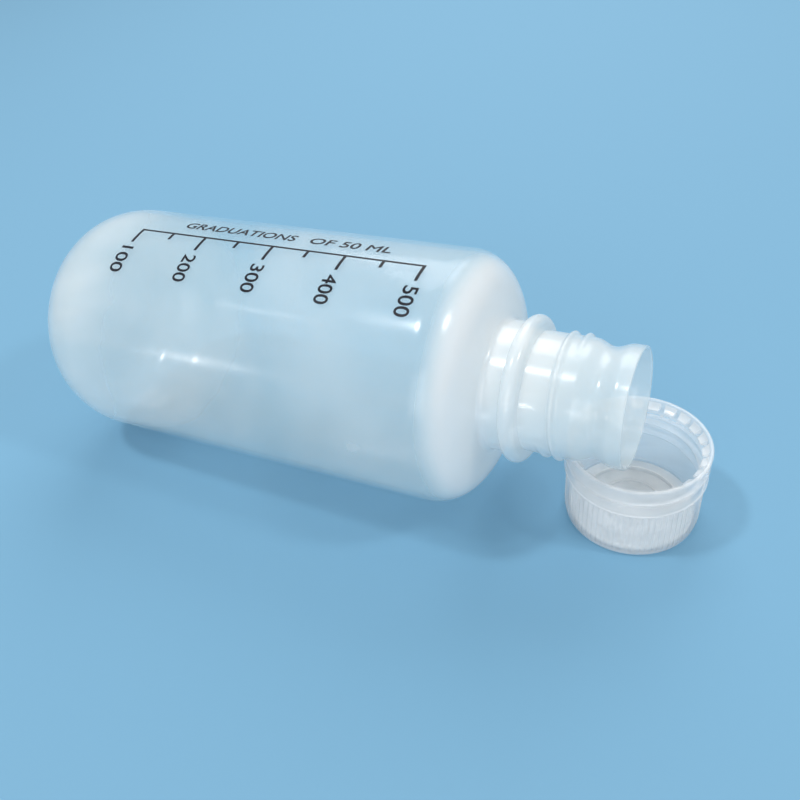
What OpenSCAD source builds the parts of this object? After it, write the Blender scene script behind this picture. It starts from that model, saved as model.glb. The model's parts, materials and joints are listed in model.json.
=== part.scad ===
// Half-litre urine collection bottle lying on its side, with its screw cap standing open end up
// beside the mouth.  X runs along the bottle towards the mouth, Z is up and z = 0 is the surface
// that both pieces lie on.  The bottle's own outline is drawn upright and laid down at the end.

/* [Bottle] */
// Outer diameter of the body
body_d = 75; // [60:0.5:95]
// Height of the straight body wall's top edge above the base
wall_top = 137.5; // [100:0.5:180]
// Overall height, base to mouth
bottle_h = 190.6; // [180:0.1:240]
// Wall thickness of the body
wall = 1.1; // [0.8:0.1:2]
// Height of the rounded base edge
heel_h = 21; // [12:0.5:24]
// Width of the rounded base edge
heel_w = 17; // [12:0.5:20]
// Depth of the hollow under the base
push_up = 3; // [1:0.5:6]
// Height of the rounded shoulder
shoulder_h = 14.2; // [10:0.1:18]
// Width of the shoulder's curve, of which the neck cuts off the inner end
shoulder_w = 21; // [19:0.1:24]
// Squareness of the shoulder's curve, where 2 is an ellipse
shoulder_n = 2.15; // [1.8:0.05:2.6]

/* [Neck] */
// Diameter of the neck between shoulder and collar
stub_d = 37.8; // [36:0.1:40]
// Diameter over the collar bead
collar_d = 42.8; // [40:0.1:44]
// Height of the collar bead's middle above the base
collar_s = 159.9; // [158:0.1:162]
// Half the height of the collar bead
collar_half = 2.4; // [1.5:0.1:3]
// Diameter of the neck at the root of the thread
root_d = 34.6; // [33:0.1:36]
// Diameter over the thread
crest_d = 36.6; // [35:0.1:37.2]
// Pitch of the thread
pitch = 4.2; // [3.5:0.05:4.5]
// Turns of thread on the neck
turns = 1.75; // [1:0.25:2]
// Height of the middle of the thread's start above the base
thread_s = 167.8; // [167:0.1:168.4]
// Where the waist under the mouth begins
waist_s = 176.4; // [176:0.1:178]
// Height of the waist, up to the mouth's straight lip
waist_h = 11.1; // [9:0.1:12]
// Diameter at the narrowest part of the waist
waist_d = 31.4; // [29:0.1:33]
// Wall thickness of the neck
neck_wall = 1.3; // [1:0.1:1.8]
// Wall thickness of the lip at the mouth
lip_wall = 1; // [0.8:0.1:1.4]

/* [Cap] */
// Overall height of the cap with its tamper band
cap_h = 27.8; // [26:0.1:28]
// Inner diameter of the cap
cap_bore_d = 37.8; // [37.6:0.1:38.2]
// Diameter at the root of the grip ribs
grip_root_d = 39.8; // [39.6:0.1:40.4]
// Diameter over the grip ribs
grip_tip_d = 40.8; // [40.6:0.1:41.4]
// Number of grip ribs
grip_ribs = 72; // [48:4:90]
// Height of the top of the grip ribs
grip_top = 17.5; // [14:0.1:18]
// Diameter of the smooth band above the ribs
collar_band_d = 41.4; // [41:0.1:42]
// Diameter of the cap at its rim
rim_d = 42.2; // [42:0.1:42.6]
// Thickness of the closed end
end_t = 1.6; // [1.2:0.1:2]
// Radius of the closed end's edge
end_round = 1.4; // [0.8:0.1:1.6]
// Height of the slit between the shell and the tamper band
slit_z = 21.9; // [21.5:0.1:22.3]
// Width of that slit
slit = 0.4; // [0.3:0.05:0.6]
// Number of bridges and of catch lugs on the tamper band
lugs = 24; // [12:2:30]
// Height of the middle of the inner thread's start
cap_thread_z = 14.6; // [13:0.1:15]
// Turns of the inner thread
cap_turns = 1.4; // [1:0.1:1.5]

/* [Sealing disc] */
// Diameter of the sealing disc
disc_d = 37.2; // [36.5:0.1:37.4]
// Thickness of the sealing disc
disc_t = 1.1; // [0.8:0.1:1.6]
// Height of the seal ring above the disc
seal_ring_h = 1.2; // [0.8:0.1:1.6]

/* [Resting place] */
// How far the bottle's mouth end is raised
tilt = 3.4; // [3:0.1:4]
// Distance from the bottle's base to the cap's axis, along the bottle
cap_along = 190.2; // [189:0.1:230]
// Distance of the cap's axis to the side of the bottle's axis
cap_side = 9; // [8:0.5:16]
// Turn of the bottle about its own axis
bottle_turn = 284; // [0:1:359]

/* [Hidden] */
$fn = 96;
curve_steps = 14;
embed = 0.3;

body_r = body_d / 2;
heel_r = body_r - heel_w;
stub_r = stub_d / 2;
root_r = root_d / 2;
mouth_r = root_r - lip_wall;
neck_fillet_r = 1.6;
foot_w = 2.5;
// The shoulder's curve stops where the fillet of the neck takes over.
shoulder_r0 = body_r - shoulder_w;
shoulder_end_a = acos(pow((stub_r + neck_fillet_r - shoulder_r0) / shoulder_w, shoulder_n / 2));
stub_s = wall_top + shoulder_h * pow(sin(shoulder_end_a), 2 / shoulder_n);
stub_wall = 1.5;

thread_foot = 2.6;
thread_tip = 0.9;
thread_fade = 40;
thread_step = 10;

cap_bore_r = cap_bore_d / 2;
band_z = slit_z + slit;
band_bore_r = cap_bore_r + 1;
lip_round = 0.5;
lug_in = 1.9;
lug_low = 25.1;
lug_high = 27.3;
lug_gap = 1.4;
bridge_w = 0.9;
cap_thread_h = 1.1;
rib_foot = 0.32;
rib_tip = 0.14;

disc_gap = 0.06;
disc_r = disc_d / 2;
keeper_z = end_t + disc_gap + disc_t + 0.3;
keeper_h = 0.9;
keeper_in = 0.4;
seal_ring_r = 14.9;
seal_ring_w = 0.9;
inner_ring_r = 9.4;
inner_ring_w = 0.8;
inner_ring_h = 0.5;
gate_r = 1.3;
gate_h = 0.35;

// The lowest point of the tilted heel is on z = 0, and its furthest point is the left end.
heel_low = sqrt(pow(heel_h * sin(tilt), 2) + pow(heel_w * cos(tilt), 2));
heel_out = sqrt(pow(heel_h * cos(tilt), 2) + pow(heel_w * sin(tilt), 2));
base_z = heel_r * cos(tilt) - heel_h * sin(tilt) + heel_low;
left_end = heel_h * cos(tilt) - heel_r * sin(tilt) - heel_out;
middle_x = (left_end + cap_along + rim_d / 2) / 2;

// The outlines are lists of [radius, height above the base], moved in by t for the inner side.
function heel(t) = [
  for (i = [0 : curve_steps])
    let (a = 90 * i / curve_steps)
    [heel_r + (heel_w - t) * sin(a), heel_h - (heel_h - t) * cos(a)]
];

function shoulder(t, end_a) = [
  for (i = [0 : curve_steps])
    let (a = end_a * i / curve_steps)
    [shoulder_r0 + (shoulder_w - t) * pow(cos(a), 2 / shoulder_n),
     wall_top + (shoulder_h - t) * pow(sin(a), 2 / shoulder_n)]
];

function neck_fillet() = [
  for (a = [15 : 15 : 90])
    [stub_r + neck_fillet_r * (1 - sin(a)), stub_s + neck_fillet_r * (1 - cos(a))]
];

function collar() = [
  for (i = [0 : curve_steps])
    let (a = 180 * i / curve_steps)
    [stub_r + (collar_d / 2 - stub_r) * sin(a), collar_s - collar_half * cos(a)]
];

function waist(t) = [
  for (i = [0 : curve_steps])
    let (a = 360 * i / curve_steps)
    [root_r - t - (root_r - waist_d / 2) * (1 - cos(a)) / 2, waist_s + waist_h * i / curve_steps]
];

function backwards(points) = [for (i = [len(points) - 1 : -1 : 0]) points[i]];

function outer_side() = concat(
  [[0, push_up], [heel_r - foot_w - push_up, push_up], [heel_r - foot_w, 0]],
  heel(0),
  shoulder(0, shoulder_end_a),
  neck_fillet(),
  collar(),
  [[root_r, collar_s + collar_half + embed]],
  waist(0),
  [[root_r, bottle_h - lip_wall / 2], [root_r - lip_wall / 4, bottle_h]]
);

function inner_side() = concat(
  [[mouth_r + lip_wall / 4, bottle_h], [mouth_r, bottle_h - lip_wall / 4]],
  backwards(waist(lip_wall)),
  [[root_r - neck_wall, waist_s - neck_wall], [root_r - neck_wall, collar_s + collar_half]],
  [[stub_r - stub_wall, collar_s], [stub_r - stub_wall, stub_s]],
  backwards(shoulder(wall, shoulder_end_a)),
  backwards(heel(wall)),
  [[heel_r - foot_w, wall], [heel_r - foot_w - push_up, push_up + wall], [0, push_up + wall]]
);

// The two feet and the two tip corners of a thread ridge, in going round order.
function ridge_section(root, tip) = root < tip
  ? [[root, -thread_foot / 2], [tip, -thread_tip / 2], [tip, thread_tip / 2], [root, thread_foot / 2]]
  : [[tip, -thread_tip / 2], [root, -thread_foot / 2], [root, thread_foot / 2], [tip, thread_tip / 2]];

// How far the ridge stands up at angle a of the whole angle end_a, from 0 to 1.
function ridge_rise(a, end_a) = min(1, 0.05 + a / thread_fade, 0.05 + (end_a - a) / thread_fade);

// A ridge that winds round Z from the radius root to the radius tip, right-handed.
module thread_ridge(root, tip, n_turns) {
  end_a = 360 * n_turns;
  rings = ceil(end_a / thread_step);
  points = [
    for (i = [0 : rings])
      let (a = end_a * i / rings)
      for (p = ridge_section(root, root + (tip - root) * ridge_rise(a, end_a)))
        [p[0] * cos(a), p[0] * sin(a), p[1] + pitch * a / 360]
  ];
  sides = [
    for (i = [0 : rings - 1])
      for (k = [0 : 3])
        let (p = 4 * i + k, q = 4 * i + (k + 1) % 4)
        for (face = [[p, q, q + 4], [p, q + 4, p + 4]])
          face
  ];
  last = 4 * rings;
  ends = [[3, 2, 1], [3, 1, 0], [last, last + 1, last + 2], [last, last + 2, last + 3]];
  polyhedron(points, concat(sides, ends));
}

module lay_bottle() {
  translate([-middle_x, 0, base_z])
    rotate([0, 90 - tilt, 0])
      rotate([0, 0, bottle_turn])
        children();
}

module stand_cap() {
  translate([cap_along - middle_x, cap_side, 0])
    children();
}

// Blow-moulded in one piece: body, neck, collar bead, thread, waist and mouth.
module bottle() {
  color([0.86, 0.88, 0.89])
    lay_bottle()
      union() {
        rotate_extrude()
          polygon(concat(outer_side(), inner_side()));
        translate([0, 0, thread_s])
          thread_ridge(root_r - embed, crest_d / 2, turns);
      }
}

// Outline of the closed end and side wall of the cap, without its ribs.
function shell_side() = concat(
  [[0, 0]],
  [
    for (a = [0 : 15 : 90])
      [grip_root_d / 2 - end_round * (1 - sin(a)), end_round * (1 - cos(a))]
  ],
  [[grip_root_d / 2, grip_top], [collar_band_d / 2, grip_top], [collar_band_d / 2, slit_z], [0, slit_z]]
);

module grip_outline() {
  step = 360 / grip_ribs;
  foot_r = grip_root_d / 2 - embed;
  tip_r = grip_tip_d / 2;
  polygon([
    for (i = [0 : grip_ribs - 1])
      for (p = [[-rib_foot, foot_r], [-rib_tip, tip_r], [rib_tip, tip_r], [rib_foot, foot_r]])
        p[1] * [cos(step * (i + p[0])), sin(step * (i + p[0]))]
  ]);
}

// Closed end, ribbed side wall, smooth band, inner thread and the bead that keeps the disc in.
module cap_shell() {
  color([0.90, 0.92, 0.93])
    stand_cap()
      union() {
        difference() {
          union() {
            rotate_extrude()
              polygon(shell_side());
            translate([0, 0, end_round])
              linear_extrude(grip_top - end_round)
                grip_outline();
          }
          translate([0, 0, end_t])
            cylinder(r = cap_bore_r, h = cap_h);
        }
        translate([0, 0, keeper_z])
          rotate_extrude()
            polygon([
              [cap_bore_r + embed, 0],
              [cap_bore_r - keeper_in, keeper_h / 2],
              [cap_bore_r + embed, keeper_h]
            ]);
        translate([0, 0, cap_thread_z])
          thread_ridge(cap_bore_r + embed, cap_bore_r - cap_thread_h, cap_turns);
      }
}

// Loose ring at the rim, joined to the shell by thin bridges, with catch lugs inside.
module tamper_band() {
  rim_r = rim_d / 2;
  step = 360 / lugs;
  color([0.90, 0.92, 0.93])
    stand_cap()
      union() {
        rotate_extrude()
          polygon([
            [band_bore_r, band_z],
            [collar_band_d / 2, band_z],
            [rim_r, cap_h - lip_round],
            [rim_r - lip_round, cap_h],
            [band_bore_r + lip_round, cap_h],
            [band_bore_r, cap_h - lip_round]
          ]);
        difference() {
          rotate_extrude()
            polygon([
              [band_bore_r + embed, lug_low],
              [band_bore_r + embed, lug_high],
              [band_bore_r - lug_in, lug_low + embed],
              [band_bore_r - lug_in, lug_low]
            ]);
          for (i = [0 : lugs / 2 - 1])
            rotate([0, 0, step * i])
              translate([-band_bore_r - lug_gap, -lug_gap / 2, lug_low - 1])
                cube([2 * (band_bore_r + lug_gap), lug_gap, lug_high - lug_low + 2]);
        }
        for (i = [0 : lugs - 1])
          rotate([0, 0, step * (i + 0.5)])
            translate([band_bore_r, -bridge_w / 2, slit_z])
              cube([0.5, bridge_w, slit + embed]);
      }
}

// Loose disc with its seal ring, in the closed end of the cap.
module sealing_disc() {
  top = end_t + disc_gap + disc_t;
  color([0.94, 0.95, 0.95])
    stand_cap()
      rotate_extrude()
        polygon([
          [0, end_t + disc_gap],
          [disc_r, end_t + disc_gap],
          [disc_r, top],
          [seal_ring_r, top],
          [seal_ring_r, top + seal_ring_h],
          [seal_ring_r - seal_ring_w, top + seal_ring_h],
          [seal_ring_r - seal_ring_w, top],
          [inner_ring_r, top],
          [inner_ring_r, top + inner_ring_h],
          [inner_ring_r - inner_ring_w, top + inner_ring_h],
          [inner_ring_r - inner_ring_w, top],
          [gate_r, top],
          [gate_r, top + gate_h],
          [0, top + gate_h]
        ]);
}

bottle();
cap_shell();
tamper_band();
sealing_disc();
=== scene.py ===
import json
from math import acos, ceil, cos, degrees, pi, radians, sin

import bmesh
import bpy
from mathutils import Matrix, Vector


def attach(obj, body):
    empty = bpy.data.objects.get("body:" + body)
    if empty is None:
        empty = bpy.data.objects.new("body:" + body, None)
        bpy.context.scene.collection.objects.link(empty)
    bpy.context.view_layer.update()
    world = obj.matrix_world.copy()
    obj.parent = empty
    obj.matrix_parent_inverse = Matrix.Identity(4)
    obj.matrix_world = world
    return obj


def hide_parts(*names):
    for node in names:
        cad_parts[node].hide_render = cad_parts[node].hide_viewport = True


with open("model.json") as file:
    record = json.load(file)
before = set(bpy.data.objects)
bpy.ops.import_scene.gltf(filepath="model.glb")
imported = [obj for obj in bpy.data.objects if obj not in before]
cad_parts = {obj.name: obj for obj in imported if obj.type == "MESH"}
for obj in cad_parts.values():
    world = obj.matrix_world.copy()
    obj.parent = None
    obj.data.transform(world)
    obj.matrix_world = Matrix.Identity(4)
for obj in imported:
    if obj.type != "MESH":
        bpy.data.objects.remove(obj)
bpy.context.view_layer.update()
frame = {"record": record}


# ---------------------------------------------------------------------------------------------
# Camera and stage: the bottle is looked at from its mouth end, from above and a little to the
# front.  It lies on a plain, pale blue sheet under soft studio light.
# ---------------------------------------------------------------------------------------------
camera_place = Vector((0.11719, -0.18307, 0.20349))
camera_turn = radians(29.42)
camera_down = radians(39.98)
camera_roll = radians(-5.6)

camera_data = bpy.data.cameras.new("camera")
camera_data.sensor_width = 36
camera_data.lens = 39.08
camera_data.shift_x = -0.0077
camera_data.shift_y = 0.007
camera_data.clip_start = 0.01
camera = bpy.data.objects.new("camera", camera_data)
camera.matrix_world = (
    Matrix.Translation(camera_place)
    @ Matrix.Rotation(camera_turn, 4, "Z")
    @ Matrix.Rotation(pi / 2 - camera_down, 4, "X")
    @ Matrix.Rotation(camera_roll, 4, "Z")
)
bpy.context.scene.collection.objects.link(camera)
bpy.context.scene.camera = camera
bpy.context.scene.view_settings.view_transform = "Standard"

floor_sheet = bpy.data.materials.new("floor_sheet")
floor_sheet.use_nodes = True
floor_surface = floor_sheet.node_tree.nodes["Principled BSDF"]
floor_surface.inputs["Base Color"].default_value = (0.17, 0.37, 0.54, 1)
floor_surface.inputs["Roughness"].default_value = 0.85
floor_mesh = bpy.data.meshes.new("floor")
floor_build = bmesh.new()
bmesh.ops.create_grid(floor_build, x_segments=1, y_segments=1, size=3)
floor_build.to_mesh(floor_mesh)
floor_build.free()
floor_mesh.materials.append(floor_sheet)
floor = bpy.data.objects.new("floor", floor_mesh)
bpy.context.scene.collection.objects.link(floor)

world = bpy.data.worlds.new("studio")
bpy.context.scene.world = world
world.use_nodes = True
world.node_tree.nodes["Background"].inputs["Color"].default_value = (0.92, 0.93, 0.93, 1)
world.node_tree.nodes["Background"].inputs["Strength"].default_value = 0.55


def soft_light(name, direction, distance, width, power):
    """A square soft box that looks at the middle of the bottle from the given side."""
    data = bpy.data.lights.new(name, "AREA")
    data.shape = "SQUARE"
    data.size = width
    data.energy = power
    light = bpy.data.objects.new(name, data)
    aim = Vector((0.02, 0, 0.04))
    place = aim + Vector(direction).normalized() * distance
    turn = (place - aim).to_track_quat("Z", "Y").to_matrix().to_4x4()
    light.matrix_world = Matrix.Translation(place) @ turn
    bpy.context.scene.collection.objects.link(light)


soft_light("key_box", (-0.36, -0.25, 0.90), 1.1, 0.1, 3.6)
soft_light("side_box", (0.66, 0.06, 0.75), 1.1, 0.12, 2.4)
soft_light("low_box", (-0.64, -0.77, 0.09), 1.0, 0.05, 0.4)
soft_light("back_box", (-0.25, 0.85, 0.9), 1.2, 0.8, 7)
soft_light("front_fill", (0.3, -1, 0.30), 1.5, 1.1, 9)


# ---------------------------------------------------------------------------------------------
# Bottle: one blow-moulded shell of milky polypropylene, a millimetre thick, from the hollow foot
# to the flared lip.  The body is plain; collar bead, thread and waist are formed in the neck.
# ---------------------------------------------------------------------------------------------
mm = 0.001
mouth = next(m for m in frame["record"]["mounts"] if m["name"] == "mouth")
bottle_axis = Vector(mouth["axis"])
bottle_base = Vector(mouth["pos_m"]) - bottle_axis * 188.9 * mm
body_r = 37.5 * mm
body_wall = 1.1 * mm
wall_top = 137.5 * mm
bottle_h = 190.6 * mm
heel_h = 21 * mm
heel_r = 20.5 * mm
foot_r = 18 * mm
push_up = 3 * mm
shoulder_h = 14.2 * mm
shoulder_w = 21 * mm
shoulder_n = 2.15
stub_r = 18.9 * mm
stub_fillet = 1.6 * mm
stub_wall = 1.5 * mm
collar_r = 21.4 * mm
collar_s = 159.9 * mm
collar_half = 2.4 * mm
root_r = 17.3 * mm
neck_wall = 1.3 * mm
lip_wall = 1.0 * mm
waist_s = 176.4 * mm
waist_h = 11.1 * mm
waist_dip = 1.6 * mm
thread_s = 167.8 * mm
thread_pitch = 4.2 * mm
thread_turns = 1.75
thread_rise = 1.0 * mm
thread_half = 1.45 * mm
thread_start = radians(284)
seam_angle = radians(118)
seam_rise = 0.06 * mm
around_bottle = 288


def lying_bottle():
    """Lays an upright bottle, base at the origin, down where the frame has it."""
    tilt = acos(bottle_axis.x)
    return Matrix.Translation(bottle_base) @ Matrix.Rotation(pi / 2 - tilt, 4, "Y")


def steps(count):
    return [i / count for i in range(count + 1)]


def heel(t):
    return [
        (heel_r + (body_r - heel_r - t) * sin(u * pi / 2), heel_h - (heel_h - t) * cos(u * pi / 2))
        for u in steps(22)
    ]


def shoulder(t):
    inner_r = body_r - shoulder_w
    end = acos(((stub_r + stub_fillet - inner_r) / shoulder_w) ** (shoulder_n / 2))
    return [
        (
            inner_r + (shoulder_w - t) * cos(u * end) ** (2 / shoulder_n),
            wall_top + (shoulder_h - t) * sin(u * end) ** (2 / shoulder_n),
        )
        for u in steps(26)
    ]


def neck_fillet(foot_s):
    return [
        (stub_r + stub_fillet * (1 - sin(u * pi / 2)), foot_s + stub_fillet * (1 - cos(u * pi / 2)))
        for u in steps(8)[1:]
    ]


def collar():
    return [
        (stub_r + (collar_r - stub_r) * sin(u * pi), collar_s - collar_half * cos(u * pi))
        for u in steps(18)
    ]


def waist(t):
    return [
        (root_r - t - waist_dip * (1 - cos(u * 2 * pi)) / 2, waist_s + waist_h * u)
        for u in steps(26)
    ]


def bottle_outline():
    """(radius, height) from the middle of the foot, up the outside and back down the inside."""
    shoulder_end = shoulder(0)[-1][1]
    land_s = collar_s + collar_half + 0.3 * mm
    land = [(root_r, land_s + (waist_s - land_s) * u) for u in steps(46)]
    lip_mid = root_r - lip_wall / 2
    lip = [
        (lip_mid + lip_wall / 2 * cos(u * pi), bottle_h - lip_wall / 2 + lip_wall / 2 * sin(u * pi))
        for u in steps(8)
    ]
    outside = [(0, push_up), (9 * mm, push_up * 0.94), (13.5 * mm, push_up * 0.72), (16 * mm, push_up * 0.38)]
    outside += [(17.4 * mm, push_up * 0.1), (foot_r, 0)] + heel(0) + shoulder(0) + neck_fillet(shoulder_end)
    outside += collar() + land[:-1] + waist(0)
    inside = waist(lip_wall)[::-1] + [(root_r - neck_wall, waist_s - 3 * mm), (root_r - neck_wall, 165 * mm)]
    inside += [(stub_r - stub_wall, collar_s + 0.5 * mm), (stub_r - stub_wall, shoulder_end + 1 * mm)]
    inside += shoulder(body_wall)[::-1] + heel(body_wall)[::-1]
    inside += [(foot_r, body_wall), (13.5 * mm, push_up * 0.72 + body_wall), (0, push_up + body_wall)]
    return outside + lip + inside


def revolve(outline, turn_steps, closed=False):
    """Spins an outline of (radius, height) once round Z and closes its poles or its loop."""
    build = bmesh.new()
    points = [build.verts.new((r, 0, s)) for r, s in outline]
    ends = points[1:] + points[:1] if closed else points[1:]
    for a, b in zip(points, ends):
        build.edges.new((a, b))
    bmesh.ops.spin(
        build,
        geom=build.verts[:] + build.edges[:],
        axis=(0, 0, 1),
        cent=(0, 0, 0),
        angle=2 * pi,
        steps=turn_steps,
        use_merge=True,
    )
    bmesh.ops.remove_doubles(build, verts=build.verts, dist=1e-7)
    return build


def angle_round(co):
    """Angle of a point round Z, anticlockwise from X."""
    return -Vector((1, 0)).angle_signed(co.xy, 0)


def thread_height(angle, s, start, first_s, turns, half_width):
    """How far a helical ridge stands up at this angle and height, from 0 to 1."""
    height = 0
    for lap in range(ceil(turns) + 1):
        along = ((angle - start) % (2 * pi)) / (2 * pi) + lap
        if along > turns:
            continue
        off = abs(s - first_s - thread_pitch * along) / half_width
        if off >= 1:
            continue
        run_out = min(1, along / 0.12, (turns - along) / 0.12)
        height = max(height, (1 + cos(pi * off)) / 2 * run_out)
    return height


def finish_piece(build, name, place, sharp_angle, material, body, slot, *cad_nodes):
    """Turns the normals outwards, sets the mesh in place and gives it to the frame."""
    bmesh.ops.recalc_face_normals(build, faces=build.faces)
    bmesh.ops.transform(build, matrix=place, verts=build.verts)
    for face in build.faces:
        face.smooth = True
    mesh = bpy.data.meshes.new(name)
    build.to_mesh(mesh)
    build.free()
    mesh.set_sharp_from_angle(angle=sharp_angle)
    mesh.materials.append(material)
    piece = bpy.data.objects.new(name, mesh)
    bpy.context.scene.collection.objects.link(piece)
    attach(piece, body)
    if cad_nodes:
        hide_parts(*cad_nodes)
    return piece


def new_group(name, inputs, outputs):
    """An empty shader group with named number inputs and outputs, and its two end nodes."""
    group = bpy.data.node_groups.new(name, "ShaderNodeTree")
    for socket_name, value in inputs:
        socket = group.interface.new_socket(name=socket_name, in_out="INPUT", socket_type="NodeSocketFloat")
        socket.default_value = value
    for socket_name in outputs:
        group.interface.new_socket(name=socket_name, in_out="OUTPUT", socket_type="NodeSocketFloat")
    return group, group.nodes.new("NodeGroupInput"), group.nodes.new("NodeGroupOutput")


def add_node(tree, kind, **settings):
    node = tree.nodes.new(kind)
    for key, value in settings.items():
        if key[0].isupper():
            node.inputs[key.replace("_", " ")].default_value = value
        else:
            setattr(node, key, value)
    return node


def haze_group():
    """Uneven milkiness of the plastic: soft patches, drawn out slantwise as the melt flowed."""
    settings = [("Patch Scale", 18), ("Draw Out", 2.5), ("Contrast", 0.2)]
    group, given, out = new_group("haze", settings, ["Haze"])
    places = add_node(group, "ShaderNodeTexCoord")
    lean = add_node(group, "ShaderNodeMapping", Rotation=(0.2, 0.5, 0.6))
    stretch = add_node(group, "ShaderNodeCombineXYZ", Y=1, Z=1)
    shape = add_node(group, "ShaderNodeVectorMath", operation="DIVIDE")
    patch = add_node(group, "ShaderNodeTexNoise", Detail=3, Roughness=0.55, Distortion=0.6)
    spread = add_node(group, "ShaderNodeMapRange", From_Max=0.65)
    low = add_node(group, "ShaderNodeMath", operation="SUBTRACT")
    low.inputs[0].default_value = 0.5
    links = group.links
    links.new(places.outputs["Object"], lean.inputs["Vector"])
    links.new(given.outputs["Draw Out"], stretch.inputs["X"])
    links.new(lean.outputs["Vector"], shape.inputs[0])
    links.new(stretch.outputs["Vector"], shape.inputs[1])
    links.new(shape.outputs["Vector"], patch.inputs["Vector"])
    links.new(given.outputs["Patch Scale"], patch.inputs["Scale"])
    links.new(given.outputs["Contrast"], low.inputs[1])
    links.new(low.outputs["Value"], spread.inputs["From Min"])
    links.new(patch.outputs["Fac"], spread.inputs["Value"])
    links.new(spread.outputs["Result"], out.inputs["Haze"])
    return group


def skin_group():
    """Height of the moulded skin: fine grain from the mould, on slow waves in the wall."""
    group, given, out = new_group("moulded_skin", [("Grain", 0.2), ("Waves", 0.5)], ["Height"])
    places = add_node(group, "ShaderNodeTexCoord")
    grain = add_node(group, "ShaderNodeTexNoise", Scale=1900, Detail=2)
    waves = add_node(group, "ShaderNodeTexNoise", Scale=70, Detail=1)
    fine = add_node(group, "ShaderNodeMath", operation="MULTIPLY")
    slow = add_node(group, "ShaderNodeMath", operation="MULTIPLY")
    both = add_node(group, "ShaderNodeMath", operation="ADD")
    links = group.links
    links.new(places.outputs["Object"], grain.inputs["Vector"])
    links.new(places.outputs["Object"], waves.inputs["Vector"])
    links.new(grain.outputs["Fac"], fine.inputs[0])
    links.new(given.outputs["Grain"], fine.inputs[1])
    links.new(waves.outputs["Fac"], slow.inputs[0])
    links.new(given.outputs["Waves"], slow.inputs[1])
    links.new(fine.outputs["Value"], both.inputs[0])
    links.new(slow.outputs["Value"], both.inputs[1])
    links.new(both.outputs["Value"], out.inputs["Height"])
    return group


def handling_group():
    """Where hands and shelves have dulled the gloss: soft smudges, and rubbed convex edges."""
    settings = [("Smudge Scale", 60), ("Edge Reach", 0.04)]
    group, given, out = new_group("handling", settings, ["Smudge", "Edge"])
    places = add_node(group, "ShaderNodeTexCoord")
    smudge = add_node(group, "ShaderNodeTexNoise", Detail=4, Roughness=0.6)
    firm = add_node(group, "ShaderNodeMapRange", From_Min=0.42, From_Max=0.68)
    shape = add_node(group, "ShaderNodeNewGeometry")
    reach = add_node(group, "ShaderNodeMath", operation="ADD")
    reach.inputs[0].default_value = 0.51
    edge = add_node(group, "ShaderNodeMapRange", From_Min=0.51)
    broken = add_node(group, "ShaderNodeTexNoise", Scale=420, Detail=3)
    patchy = add_node(group, "ShaderNodeMath", operation="MULTIPLY")
    links = group.links
    links.new(places.outputs["Object"], smudge.inputs["Vector"])
    links.new(places.outputs["Object"], broken.inputs["Vector"])
    links.new(given.outputs["Smudge Scale"], smudge.inputs["Scale"])
    links.new(smudge.outputs["Fac"], firm.inputs["Value"])
    links.new(given.outputs["Edge Reach"], reach.inputs[1])
    links.new(reach.outputs["Value"], edge.inputs["From Max"])
    links.new(shape.outputs["Pointiness"], edge.inputs["Value"])
    links.new(edge.outputs["Result"], patchy.inputs[0])
    links.new(broken.outputs["Fac"], patchy.inputs[1])
    links.new(firm.outputs["Result"], out.inputs["Smudge"])
    links.new(patchy.outputs["Value"], out.inputs["Edge"])
    return group


haze = haze_group()
moulded_skin = skin_group()
handling = handling_group()


def place_group(tree, group, values):
    node = tree.nodes.new("ShaderNodeGroup")
    node.node_tree = group
    for key, value in values.items():
        node.inputs[key].default_value = value
    return node


def mix_colors(tree, mask, first, second):
    """Mixes two colours by a mask; each colour is a value or another node's output."""
    mix = tree.nodes.new("ShaderNodeMix")
    mix.data_type = "RGBA"
    tree.links.new(mask, mix.inputs["Factor"])
    colors = [s for s in mix.inputs if s.type == "RGBA"]
    for socket, color in zip(colors, (first, second)):
        if isinstance(color, tuple):
            socket.default_value = (*color, 1)
        else:
            tree.links.new(color, socket)
    return next(s for s in mix.outputs if s.type == "RGBA")


plastic_ior = 1.49
plastic_glow = 0.3
plastic_glow_depth = 2 * mm
smudge_dulling = 0.1
haze_cover = 0.08
skin_depth = 0.2 * mm
thick_wall_white = (0.95, 0.96, 0.955)
thick_wall_cover = 0.45


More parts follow.
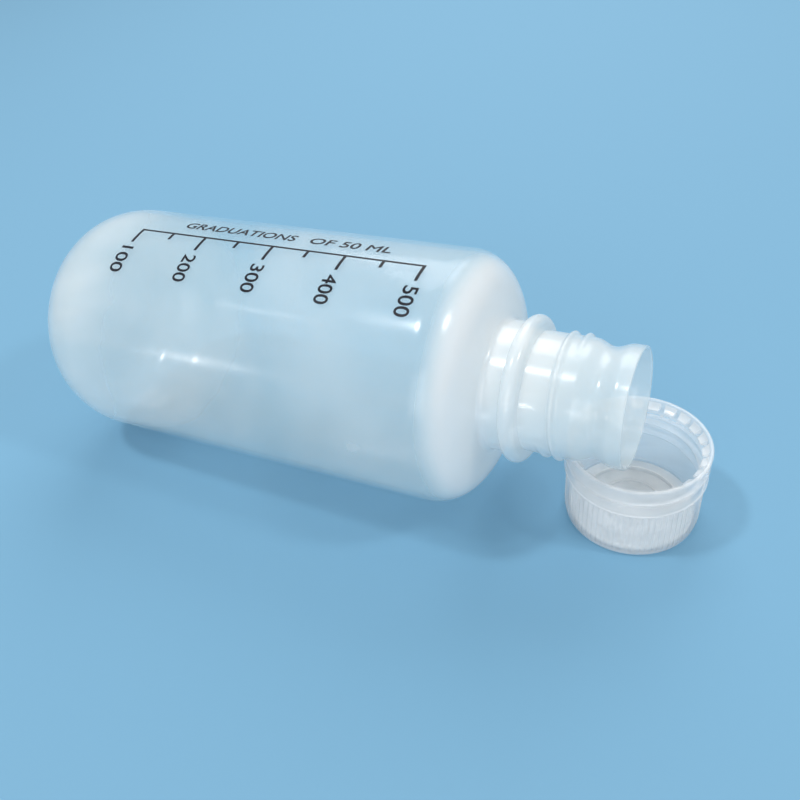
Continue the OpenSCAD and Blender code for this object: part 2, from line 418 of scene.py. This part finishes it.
def milky_plastic(name, tints, finish, haze_values, skin_values, handling_values):
    """Milky polypropylene: tints are clear, hazy and rubbed colour.  Finish gives the least
    roughness, the bump, and how much of the light each face of the wall stops."""
    material = bpy.data.materials.new(name)
    material.use_nodes = True
    tree = material.node_tree
    surface = tree.nodes["Principled BSDF"]
    surface.inputs["IOR"].default_value = plastic_ior
    surface.inputs["Subsurface Weight"].default_value = plastic_glow
    surface.inputs["Subsurface Radius"].default_value = (1, 1, 1)
    surface.inputs["Subsurface Scale"].default_value = plastic_glow_depth
    surface.inputs["Specular IOR Level"].default_value = 1
    cloud = place_group(tree, haze, haze_values)
    skin = place_group(tree, moulded_skin, skin_values)
    worn = place_group(tree, handling, handling_values)
    body_color = mix_colors(tree, cloud.outputs["Haze"], tints[0], tints[1])
    color = mix_colors(tree, worn.outputs["Edge"], body_color, tints[2])
    dullest = finish["gloss"] + smudge_dulling
    dull = add_node(tree, "ShaderNodeMapRange", To_Min=finish["gloss"], To_Max=dullest)
    cover = add_node(tree, "ShaderNodeMapRange", To_Min=finish["cover"], To_Max=finish["cover"] + haze_cover)
    bump = add_node(tree, "ShaderNodeBump", Strength=finish["relief"], Distance=skin_depth)
    tree.links.new(color, surface.inputs["Base Color"])
    tree.links.new(worn.outputs["Smudge"], dull.inputs["Value"])
    tree.links.new(dull.outputs["Result"], surface.inputs["Roughness"])
    tree.links.new(cloud.outputs["Haze"], cover.inputs["Value"])
    tree.links.new(cover.outputs["Result"], surface.inputs["Alpha"])
    tree.links.new(skin.outputs["Height"], bump.inputs["Height"])
    tree.links.new(bump.outputs["Normal"], surface.inputs["Normal"])
    return material


def thicker_is_whiter(material, thick_cover, stops):
    """Whitens and thickens the plastic along the bottle: stops are (height, mask)."""
    tree = material.node_tree
    surface = tree.nodes["Principled BSDF"]
    color = surface.inputs["Base Color"].links[0].from_socket
    places = add_node(tree, "ShaderNodeTexCoord")
    from_base = add_node(tree, "ShaderNodeVectorMath", operation="SUBTRACT")
    from_base.inputs[1].default_value = bottle_base
    height = add_node(tree, "ShaderNodeVectorMath", operation="DOT_PRODUCT")
    height.inputs[1].default_value = bottle_axis
    share = add_node(tree, "ShaderNodeMath", operation="DIVIDE")
    share.inputs[1].default_value = bottle_h
    ramp = add_node(tree, "ShaderNodeValToRGB")
    ramp.color_ramp.interpolation = "EASE"
    marks = ramp.color_ramp.elements
    while len(marks) < len(stops):
        marks.new(0.5)
    for mark, (stop_s, white) in zip(marks, stops):
        mark.position = stop_s / bottle_h
        mark.color = (white, white, white, 1)
    tree.links.new(places.outputs["Object"], from_base.inputs[0])
    tree.links.new(from_base.outputs["Vector"], height.inputs[0])
    tree.links.new(height.outputs["Value"], share.inputs[0])
    tree.links.new(share.outputs["Value"], ramp.inputs["Fac"])
    whitened = mix_colors(tree, ramp.outputs["Color"], color, thick_wall_white)
    tree.links.new(whitened, surface.inputs["Base Color"])
    cover = add_node(tree, "ShaderNodeMath", operation="MULTIPLY_ADD")
    cover.inputs[1].default_value = thick_cover
    tree.links.new(ramp.outputs["Color"], cover.inputs[0])
    tree.links.new(surface.inputs["Alpha"].links[0].from_socket, cover.inputs[2])
    tree.links.new(cover.outputs["Value"], surface.inputs["Alpha"])


bottle_plastic = milky_plastic(
    "milky_bottle_plastic",
    tints=((0.58, 0.74, 0.80), (0.80, 0.88, 0.90), (0.95, 0.97, 0.97)),
    finish={"gloss": 0.15, "relief": 0.15, "cover": 0.165},
    haze_values={"Patch Scale": 16, "Draw Out": 2.6, "Contrast": 0.14},
    skin_values={"Grain": 0.05, "Waves": 0.9},
    handling_values={"Smudge Scale": 55, "Edge Reach": 0.05},
)
thicker_is_whiter(
    bottle_plastic,
    thick_wall_cover,
    [
        (0, 0.5),
        (18 * mm, 0.35),
        (40 * mm, 0),
        (140 * mm, 0),
        (147.5 * mm, 1),
        (158 * mm, 0.7),
        (bottle_h, 0.25),
    ],
)
bottle_build = revolve(bottle_outline(), around_bottle)
for vert in bottle_build.verts:
    radius = vert.co.xy.length
    angle = angle_round(vert.co)
    rise = 0
    if radius >= root_r - 0.01 * mm and thread_s - 2 * mm < vert.co.z < waist_s + 3 * mm:
        ridge = thread_height(angle, vert.co.z, thread_start, thread_s, thread_turns, thread_half)
        rise = thread_rise * ridge
    elif radius > heel_r and degrees(abs((angle - seam_angle) % pi)) < 180 / around_bottle:
        rise = seam_rise
    if rise:
        vert.co.xy *= (radius + rise) / radius
finish_piece(
    bottle_build,
    "bottle_shell",
    lying_bottle(),
    radians(50),
    bottle_plastic,
    "bottle",
    "bottle_plastic",
    "bottle",
)


# ---------------------------------------------------------------------------------------------
# Printed scale: a film of black ink, screen-printed on the body.  A line runs along the bottle
# with a mark every 50 ml and a figure every 100 ml; a plain heading runs along its other side.
# ---------------------------------------------------------------------------------------------
first_mark_s = 33.9 * mm
mark_spacing = 12.33 * mm
mark_count = 9
line_turn = radians(-3.1)
line_w = 0.7 * mm
mark_w = 0.95 * mm
long_mark = 6.0 * mm
short_mark = 2.8 * mm
figure_h = 4.4 * mm
figure_run = 9.7 * mm
figure_turn = radians(-23.4)
heading_h = 3.8 * mm
heading_turn = radians(6.1)
ink_sunk = 0.02 * mm
ink_proud = 0.04 * mm
ink_cut = 0.9 * mm
ink_spread = 0.07 * mm


def ink_block(length, width):
    """A flat bar of ink film, lying along X."""
    build = bmesh.new()
    size = Matrix.Diagonal((length, width, ink_sunk + ink_proud, 1))
    bmesh.ops.create_cube(build, size=1, matrix=Matrix.Translation((0, 0, (ink_proud - ink_sunk) / 2)) @ size)
    return build


def ink_words(words, run, height):
    """Words of ink film, centred on the origin and fitted to a run and a height."""
    curve = bpy.data.curves.new("words", "FONT")
    curve.body = words
    curve.resolution_u = 5
    curve.extrude = 0.5
    holder = bpy.data.objects.new("words", curve)
    bpy.context.scene.collection.objects.link(holder)
    flat = bpy.data.meshes.new_from_object(holder.evaluated_get(bpy.context.evaluated_depsgraph_get()))
    build = bmesh.new()
    build.from_mesh(flat)
    bpy.data.objects.remove(holder)
    bpy.data.curves.remove(curve)
    bpy.data.meshes.remove(flat)
    bmesh.ops.remove_doubles(build, verts=build.verts, dist=1e-5)
    low = Vector([min(v.co[k] for v in build.verts) for k in range(3)])
    high = Vector([max(v.co[k] for v in build.verts) for k in range(3)])
    wanted = (run, height, ink_sunk + ink_proud)
    scale = Vector([wanted[k] / (high[k] - low[k]) for k in range(3)])
    shift = Matrix.Translation((0, 0, (ink_proud - ink_sunk) / 2))
    fit = shift @ Matrix.Diagonal((*scale, 1)) @ Matrix.Translation(-(low + high) / 2)
    bmesh.ops.transform(build, matrix=fit, verts=build.verts)
    bmesh.ops.recalc_face_normals(build, faces=build.faces)
    moves = []
    for vert in build.verts:
        walls = [face.normal for face in vert.link_faces if abs(face.normal.z) < 0.5]
        outwards = sum(walls, Vector()).normalized()
        moves.append(outwards * ink_spread / max(0.5, outwards.dot(walls[0])))
    for vert, move in zip(build.verts, moves):
        vert.co += move
    return build


def print_on_body(sheet, build, s, turn, reads_round):
    """Bends flat ink round the body and adds it to the sheet.  Text reads round, or along it."""
    across = Vector((1, 0, 0)) if reads_round else Vector((0, 1, 0))
    reach = max(abs(v.co.dot(across)) for v in build.verts)
    for k in range(-ceil(reach / ink_cut), ceil(reach / ink_cut) + 1):
        geom = build.verts[:] + build.edges[:] + build.faces[:]
        bmesh.ops.bisect_plane(build, geom=geom, plane_co=across * ink_cut * k, plane_no=across)
    for vert in build.verts:
        x, y, z = vert.co
        round_by = -x / body_r if reads_round else y / body_r
        along = y if reads_round else x
        angle = turn + round_by
        vert.co = (-(body_r + z) * cos(angle), (body_r + z) * sin(angle), s + along)
    part = bpy.data.meshes.new("part")
    build.to_mesh(part)
    build.free()
    sheet.from_mesh(part)
    bpy.data.meshes.remove(part)


def printing_ink():
    """Matt black ink with a little dust in it, thinner and greyer in places."""
    material = bpy.data.materials.new("black_printing_ink")
    material.use_nodes = True
    tree = material.node_tree
    surface = tree.nodes["Principled BSDF"]
    surface.inputs["Specular IOR Level"].default_value = 0.2
    worn = place_group(tree, handling, {"Smudge Scale": 700, "Edge Reach": 0.1})
    color = mix_colors(tree, worn.outputs["Smudge"], (0.006, 0.007, 0.012), (0.022, 0.024, 0.034))
    dull = add_node(tree, "ShaderNodeMapRange", To_Min=0.38, To_Max=0.6)
    skin = place_group(tree, moulded_skin, {"Grain": 1, "Waves": 0})
    bump = add_node(tree, "ShaderNodeBump", Strength=0.3, Distance=0.00002)
    tree.links.new(color, surface.inputs["Base Color"])
    tree.links.new(worn.outputs["Smudge"], dull.inputs["Value"])
    tree.links.new(dull.outputs["Result"], surface.inputs["Roughness"])
    tree.links.new(skin.outputs["Height"], bump.inputs["Height"])
    tree.links.new(bump.outputs["Normal"], surface.inputs["Normal"])
    return material


scale_sheet = bmesh.new()
line_run = mark_spacing * (mark_count - 1) + mark_w
line_middle = first_mark_s + mark_spacing * (mark_count - 1) / 2
print_on_body(scale_sheet, ink_block(line_run, line_w), line_middle, line_turn, False)
for k in range(mark_count):
    mark_s = first_mark_s + mark_spacing * k
    mark_run = short_mark if k % 2 else long_mark
    mark_turn = line_turn - (line_w + mark_run) / 2 / body_r
    print_on_body(scale_sheet, ink_block(mark_w, mark_run), mark_s, mark_turn, False)
    if k % 2 == 0:
        figure = ink_words(str(100 + 50 * k), figure_run, figure_h)
        print_on_body(scale_sheet, figure, mark_s, figure_turn, True)
print_on_body(scale_sheet, ink_words("GRADUATIONS", 40.5 * mm, heading_h), 67.3 * mm, heading_turn, False)
print_on_body(scale_sheet, ink_words("OF 50 ML", 27 * mm, heading_h), 106.2 * mm, heading_turn, False)
finish_piece(scale_sheet, "scale_print", lying_bottle(), radians(30), printing_ink(), "bottle", "scale_ink")


# ---------------------------------------------------------------------------------------------
# Screw cap: an injection-moulded shell of clear, milky polypropylene, standing open end up.  It
# has 72 grip ribs, a smooth collar band with a bead under it, and the thread in its bore.
# ---------------------------------------------------------------------------------------------
cap_top = next(m for m in frame["record"]["mounts"] if m["name"] == "cap_top")
standing_cap = Matrix.Translation(Vector(cap_top["pos_m"]))
rib_count = 72
rib_rise = 0.4 * mm
rib_root_r = 19.9 * mm
rib_low = 1.6 * mm
rib_full = 3.0 * mm
rib_top = 17.1 * mm
bore_r = 18.9 * mm
cap_edge_r = 1.4 * mm
cap_thread_z = 14.6 * mm
cap_thread_turns = 1.4
cap_thread_rise = 1.1 * mm
cap_thread_half = 1.35 * mm
around_cap = rib_count * 6


def in_mm(*points):
    return [(r * mm, z * mm) for r, z in points]


def cap_outline():
    """From the middle of the closed end, up the outside, over the collar and down the bore."""
    edge = [
        (rib_root_r - cap_edge_r * (1 - sin(u * pi / 2)), cap_edge_r * (1 - cos(u * pi / 2)))
        for u in steps(8)
    ]
    outside = in_mm((0, 0.25), (16.6, 0.25), (17.3, 0.16), (17.8, 0)) + edge
    outside += [(rib_root_r, z * mm) for z in (1.9, 2.3, 2.7, 3.0, 6, 10, 14, 16.9, 17.1)]
    outside += in_mm((19.95, 17.3), (20.35, 17.42), (20.78, 17.5), (20.95, 17.64), (21.0, 17.82))
    outside += in_mm((20.95, 18.0), (20.82, 18.14), (20.72, 18.3), (20.7, 18.6), (20.7, 21.3))
    outside += in_mm((20.64, 21.62), (20.45, 21.86))
    rim = in_mm((20.3, 21.9), (19.3, 21.9), (19.0, 21.8), (18.9, 21.6))
    thread_zone = [(bore_r, (21.4 - 0.3 * k) * mm) for k in range(31)]
    low = in_mm((18.9, 8), (18.9, 4.1), (18.86, 3.9), (18.6, 3.6), (18.52, 3.45), (18.6, 3.3), (18.86, 3.05))
    inner_floor = in_mm((18.9, 2.2), (18.8, 1.8), (18.5, 1.6), (9, 1.6), (0, 1.6))
    return outside + rim + thread_zone + low + inner_floor


def rib_height(angle, z):
    """Rounded grip ribs that rise out of the edge at the closed end and stop under the collar."""
    if not rib_low < z <= rib_top:
        return 0
    rise = min(1, (z - rib_low) / (rib_full - rib_low))
    return rise * (1 + cos(angle * rib_count)) / 2


cap_plastic = milky_plastic(
    "clear_cap_plastic",
    tints=((0.92, 0.95, 0.97), (0.97, 0.98, 0.985), (0.99, 0.99, 0.99)),
    finish={"gloss": 0.14, "relief": 0.2, "cover": 0.28},
    haze_values={"Patch Scale": 40, "Draw Out": 1.5, "Contrast": 0.2},
    skin_values={"Grain": 0.05, "Waves": 0.4},
    handling_values={"Smudge Scale": 110, "Edge Reach": 0.06},
)
cap_build = revolve(cap_outline(), around_cap)
for vert in cap_build.verts:
    radius = vert.co.xy.length
    angle = angle_round(vert.co)
    if abs(radius - rib_root_r) < 0.01 * mm:
        vert.co.xy *= (radius + rib_rise * rib_height(angle, vert.co.z)) / radius
    elif abs(radius - bore_r) < 0.01 * mm and vert.co.z > 8 * mm:
        ridge = thread_height(angle, vert.co.z, 0, cap_thread_z, cap_thread_turns, cap_thread_half)
        vert.co.xy *= (radius - cap_thread_rise * ridge) / radius
finish_piece(
    cap_build, "screw_cap", standing_cap, radians(40), cap_plastic, "cap", "cap_plastic", "cap_shell"
)


# ---------------------------------------------------------------------------------------------
# Tamper ring: the same moulding's loose ring at the rim.  24 thin bridges join it to the collar
# band, and 24 catch lugs lean in from its bore.
# ---------------------------------------------------------------------------------------------
ring_bore_r = 19.9 * mm
lug_count = 24
lug_step = 2 * pi / lug_count
lug_span = radians(11.2)
lug_tip_narrowing = 0.2
bridge_size = (0.5 * mm, 0.9 * mm, 0.46 * mm)
bridge_r = 20.15 * mm
bridge_z = 22.1 * mm


def ring_outline():
    outside = in_mm((20.35, 22.3), (20.6, 22.34), (20.85, 22.46), (20.98, 22.64), (20.98, 22.84))
    outside += in_mm((20.88, 23.02))
    outside += in_mm((20.84, 23.3), (20.95, 25.2), (21.05, 26.9), (21.1, 27.2), (21.07, 27.5), (20.95, 27.7))
    rim = in_mm((20.7, 27.8), (20.35, 27.8), (20.1, 27.7), (19.95, 27.5))
    return outside + rim + in_mm((19.9, 27.2), (19.9, 22.6), (20.05, 22.34))


def add_lugs(ring):
    """Spins one catch lug, narrows it towards its tip, and repeats it round the bore."""
    lug = bmesh.new()
    section = in_mm((20.0, 25.1), (20.0, 27.2), (19.4, 26.5), (18.6, 25.8))
    section += in_mm((18.05, 25.55), (18.0, 25.3), (18.15, 25.1))
    corners = [lug.verts.new((r, 0, z)) for r, z in section]
    for a, b in zip(corners, corners[1:] + corners[:1]):
        lug.edges.new((a, b))
    bmesh.ops.spin(
        lug, geom=lug.verts[:] + lug.edges[:], axis=(0, 0, 1), cent=(0, 0, 0), angle=lug_span, steps=6
    )
    bmesh.ops.rotate(lug, verts=lug.verts, cent=(0, 0, 0), matrix=Matrix.Rotation(-lug_span / 2, 3, "Z"))
    bmesh.ops.holes_fill(lug, edges=[edge for edge in lug.edges if edge.is_boundary])
    for vert in lug.verts:
        radius = vert.co.xy.length
        tip = (ring_bore_r - radius) / (1.9 * mm)
        turn = -angle_round(vert.co) * lug_tip_narrowing * tip
        bmesh.ops.rotate(lug, verts=[vert], cent=(0, 0, 0), matrix=Matrix.Rotation(turn, 3, "Z"))
    bmesh.ops.recalc_face_normals(lug, faces=lug.faces)
    one_lug = bpy.data.meshes.new("lug")
    for k in range(lug_count):
        bmesh.ops.rotate(lug, verts=lug.verts, cent=(0, 0, 0), matrix=Matrix.Rotation(lug_step, 3, "Z"))
        lug.to_mesh(one_lug)
        ring.from_mesh(one_lug)
    lug.free()
    bpy.data.meshes.remove(one_lug)


def add_bridges(ring):
    for k in range(lug_count):
        turn = Matrix.Rotation(lug_step * (k + 0.5), 4, "Z")
        place = turn @ Matrix.Translation((bridge_r, 0, bridge_z)) @ Matrix.Diagonal((*bridge_size, 1))
        bmesh.ops.create_cube(ring, size=1, matrix=place)


ring_build = revolve(ring_outline(), 360, closed=True)
add_lugs(ring_build)
add_bridges(ring_build)
finish_piece(
    ring_build, "tamper_ring", standing_cap, radians(35), cap_plastic, "cap", "cap_plastic", "tamper_band"
)


# ---------------------------------------------------------------------------------------------
# Sealing disc: a loose, clear disc that lies in the closed end of the cap, held by a bead.  A
# seal ring stands up three quarters of the way out, a low ring half way in, and the moulding
# gate in its middle.
# ---------------------------------------------------------------------------------------------
def disc_outline():
    edge = in_mm((0, 1.66), (18.45, 1.66), (18.57, 1.74), (18.6, 1.86), (18.6, 2.6), (18.55, 2.72))
    edge += in_mm((18.42, 2.76))
    seal = in_mm((15.1, 2.76), (14.95, 2.84), (14.9, 3.0), (14.8, 3.75), (14.68, 3.92), (14.45, 3.97))
    seal += in_mm((14.22, 3.92), (14.1, 3.75), (14.0, 3.0), (13.95, 2.84), (13.8, 2.76))
    middle = in_mm((9.7, 2.76), (9.5, 2.82), (9.38, 3.1), (9.2, 3.24), (9.0, 3.27), (8.8, 3.24), (8.62, 3.1))
    middle += in_mm((8.5, 2.82), (8.3, 2.76), (1.5, 2.76), (1.34, 2.82), (1.25, 3.0), (1.05, 3.1), (0, 3.12))
    return edge + seal + middle


disc_plastic = milky_plastic(
    "clear_disc_plastic",
    tints=((0.80, 0.91, 0.98), (0.88, 0.95, 0.99), (0.98, 0.99, 0.99)),
    finish={"gloss": 0.12, "relief": 0.15, "cover": 0.3},
    haze_values={"Patch Scale": 50, "Draw Out": 1.2, "Contrast": 0.2},
    skin_values={"Grain": 0.05, "Waves": 0.3},
    handling_values={"Smudge Scale": 120, "Edge Reach": 0.06},
)
disc_build = revolve(disc_outline(), 288)
finish_piece(
    disc_build, "seal_disc", standing_cap, radians(40), disc_plastic, "disc", "disc_plastic", "sealing_disc"
)
